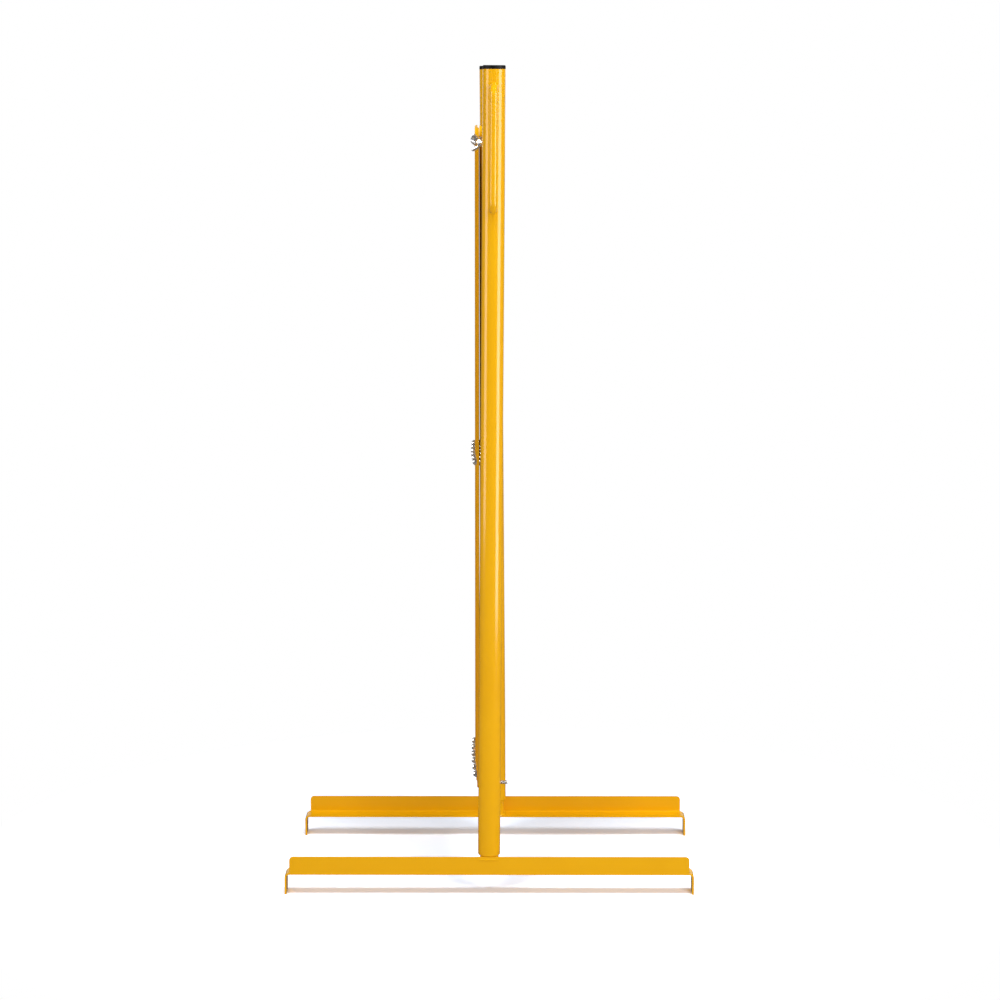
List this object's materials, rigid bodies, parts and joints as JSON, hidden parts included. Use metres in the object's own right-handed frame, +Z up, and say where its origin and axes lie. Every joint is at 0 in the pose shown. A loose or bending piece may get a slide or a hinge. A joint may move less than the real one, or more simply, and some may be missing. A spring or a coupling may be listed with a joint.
{
  "type": "expanding barrier",
  "caption": "Free-standing folding lattice barrier: two round posts on T-feet joined by a scissor lattice of flat steel bars, with carry handles.",
  "frame": {"origin": "on the floor, midway between the posts and midway along the feet", "axes": "+Z up, +Y from the near post to the far post, the way the barrier opens, +X across along the feet"},
  "size_m": [0.5616, 0.372, 1.1131],
  "materials": {
    "yellow_paint": "smooth gloss powder coat",
    "black_plastic": "moulded, fine grain",
    "zinc_steel": "bright zinc plate"
  },
  "bodies": {
    "near_frame": {"near_foot": "yellow_paint", "near_foot_stub": "yellow_paint", "near_post_tube": "yellow_paint", "near_post_cap": "black_plastic", "near_handle": "yellow_paint", "near_pivot_bracket": "yellow_paint", "near_guide_plate": "yellow_paint", "near_foot_screw": "zinc_steel", "near_bracket_bolt": "zinc_steel", "near_wing_nut": "zinc_steel"},
    "far_frame": {"far_foot": "yellow_paint", "far_foot_stub": "yellow_paint", "far_post_tube": "yellow_paint", "far_post_cap": "black_plastic", "far_handle": "yellow_paint", "far_pivot_bracket": "yellow_paint", "far_guide_plate": "yellow_paint", "far_foot_screw": "zinc_steel", "far_bracket_bolt": "zinc_steel"},
    "right_1": {"right_bar_1": "yellow_paint", "middle_pivot_1": "zinc_steel", "lower_pivot_1": "zinc_steel"},
    "left_1": {"left_bar_1": "yellow_paint", "upper_pivot_1": "zinc_steel", "near_slide_bolt": "zinc_steel"},
    "right_2": {"right_bar_2": "yellow_paint", "middle_pivot_2": "zinc_steel", "lower_pivot_2": "zinc_steel"},
    "left_2": {"left_bar_2": "yellow_paint", "upper_pivot_2": "zinc_steel"},
    "right_3": {"right_bar_3": "yellow_paint", "middle_pivot_3": "zinc_steel", "lower_pivot_3": "zinc_steel"},
    "left_3": {"left_bar_3": "yellow_paint", "upper_pivot_3": "zinc_steel"},
    "right_4": {"right_bar_4": "yellow_paint", "middle_pivot_4": "zinc_steel", "lower_pivot_4": "zinc_steel"},
    "left_4": {"left_bar_4": "yellow_paint", "upper_pivot_4": "zinc_steel"},
    "right_5": {"right_bar_5": "yellow_paint", "middle_pivot_5": "zinc_steel", "lower_pivot_5": "zinc_steel"},
    "left_5": {"left_bar_5": "yellow_paint", "upper_pivot_5": "zinc_steel"},
    "right_6": {"right_bar_6": "yellow_paint", "middle_pivot_6": "zinc_steel", "far_slide_bolt": "zinc_steel"},
    "left_6": {"left_bar_6": "yellow_paint"}
  },
  "joints": [
    {"name": "unfold", "type": "hinge", "parent": "near_frame", "child": "right_1", "pos_m": [0, -0.105, 1.012], "axis": [1, 0, 0], "range_deg": [0, 38]},
    {"name": "middle_joint_1", "type": "hinge", "parent": "right_1", "child": "left_1", "pos_m": [0, -0.0875, 0.5845], "axis": [1, 0, 0], "range_deg": [-76, 0]},
    {"name": "upper_joint_1", "type": "hinge", "parent": "left_1", "child": "right_2", "pos_m": [0, -0.07, 1.012], "axis": [1, 0, 0], "range_deg": [0, 76]},
    {"name": "middle_joint_2", "type": "hinge", "parent": "right_2", "child": "left_2", "pos_m": [0, -0.0525, 0.5845], "axis": [1, 0, 0], "range_deg": [-76, 0]},
    {"name": "upper_joint_2", "type": "hinge", "parent": "left_2", "child": "right_3", "pos_m": [0, -0.035, 1.012], "axis": [1, 0, 0], "range_deg": [0, 76]},
    {"name": "middle_joint_3", "type": "hinge", "parent": "right_3", "child": "left_3", "pos_m": [0, -0.0175, 0.5845], "axis": [1, 0, 0], "range_deg": [-76, 0]},
    {"name": "upper_joint_3", "type": "hinge", "parent": "left_3", "child": "right_4", "pos_m": [0, 0, 1.012], "axis": [1, 0, 0], "range_deg": [0, 76]},
    {"name": "middle_joint_4", "type": "hinge", "parent": "right_4", "child": "left_4", "pos_m": [0, 0.0175, 0.5845], "axis": [1, 0, 0], "range_deg": [-76, 0]},
    {"name": "upper_joint_4", "type": "hinge", "parent": "left_4", "child": "right_5", "pos_m": [0, 0.035, 1.012], "axis": [1, 0, 0], "range_deg": [0, 76]},
    {"name": "middle_joint_5", "type": "hinge", "parent": "right_5", "child": "left_5", "pos_m": [0, 0.0525, 0.5845], "axis": [1, 0, 0], "range_deg": [-76, 0]},
    {"name": "upper_joint_5", "type": "hinge", "parent": "left_5", "child": "right_6", "pos_m": [0, 0.07, 1.012], "axis": [1, 0, 0], "range_deg": [0, 76]},
    {"name": "middle_joint_6", "type": "hinge", "parent": "right_6", "child": "left_6", "pos_m": [0, 0.0875, 0.5845], "axis": [1, 0, 0], "range_deg": [-76, 0]},
    {"name": "far_post_joint", "type": "hinge", "parent": "left_6", "child": "far_frame", "pos_m": [0, 0.105, 1.012], "axis": [1, 0, 0], "range_deg": [0, 38]}
  ],
  "couplings": [
    {"joint": "middle_joint_1", "follows": "unfold", "ratio": -2},
    {"joint": "upper_joint_1", "follows": "unfold", "ratio": 2},
    {"joint": "middle_joint_2", "follows": "unfold", "ratio": -2},
    {"joint": "upper_joint_2", "follows": "unfold", "ratio": 2},
    {"joint": "middle_joint_3", "follows": "unfold", "ratio": -2},
    {"joint": "upper_joint_3", "follows": "unfold", "ratio": 2},
    {"joint": "middle_joint_4", "follows": "unfold", "ratio": -2},
    {"joint": "upper_joint_4", "follows": "unfold", "ratio": 2},
    {"joint": "middle_joint_5", "follows": "unfold", "ratio": -2},
    {"joint": "upper_joint_5", "follows": "unfold", "ratio": 2},
    {"joint": "middle_joint_6", "follows": "unfold", "ratio": -2},
    {"joint": "far_post_joint", "follows": "unfold", "ratio": 1}
  ]
}
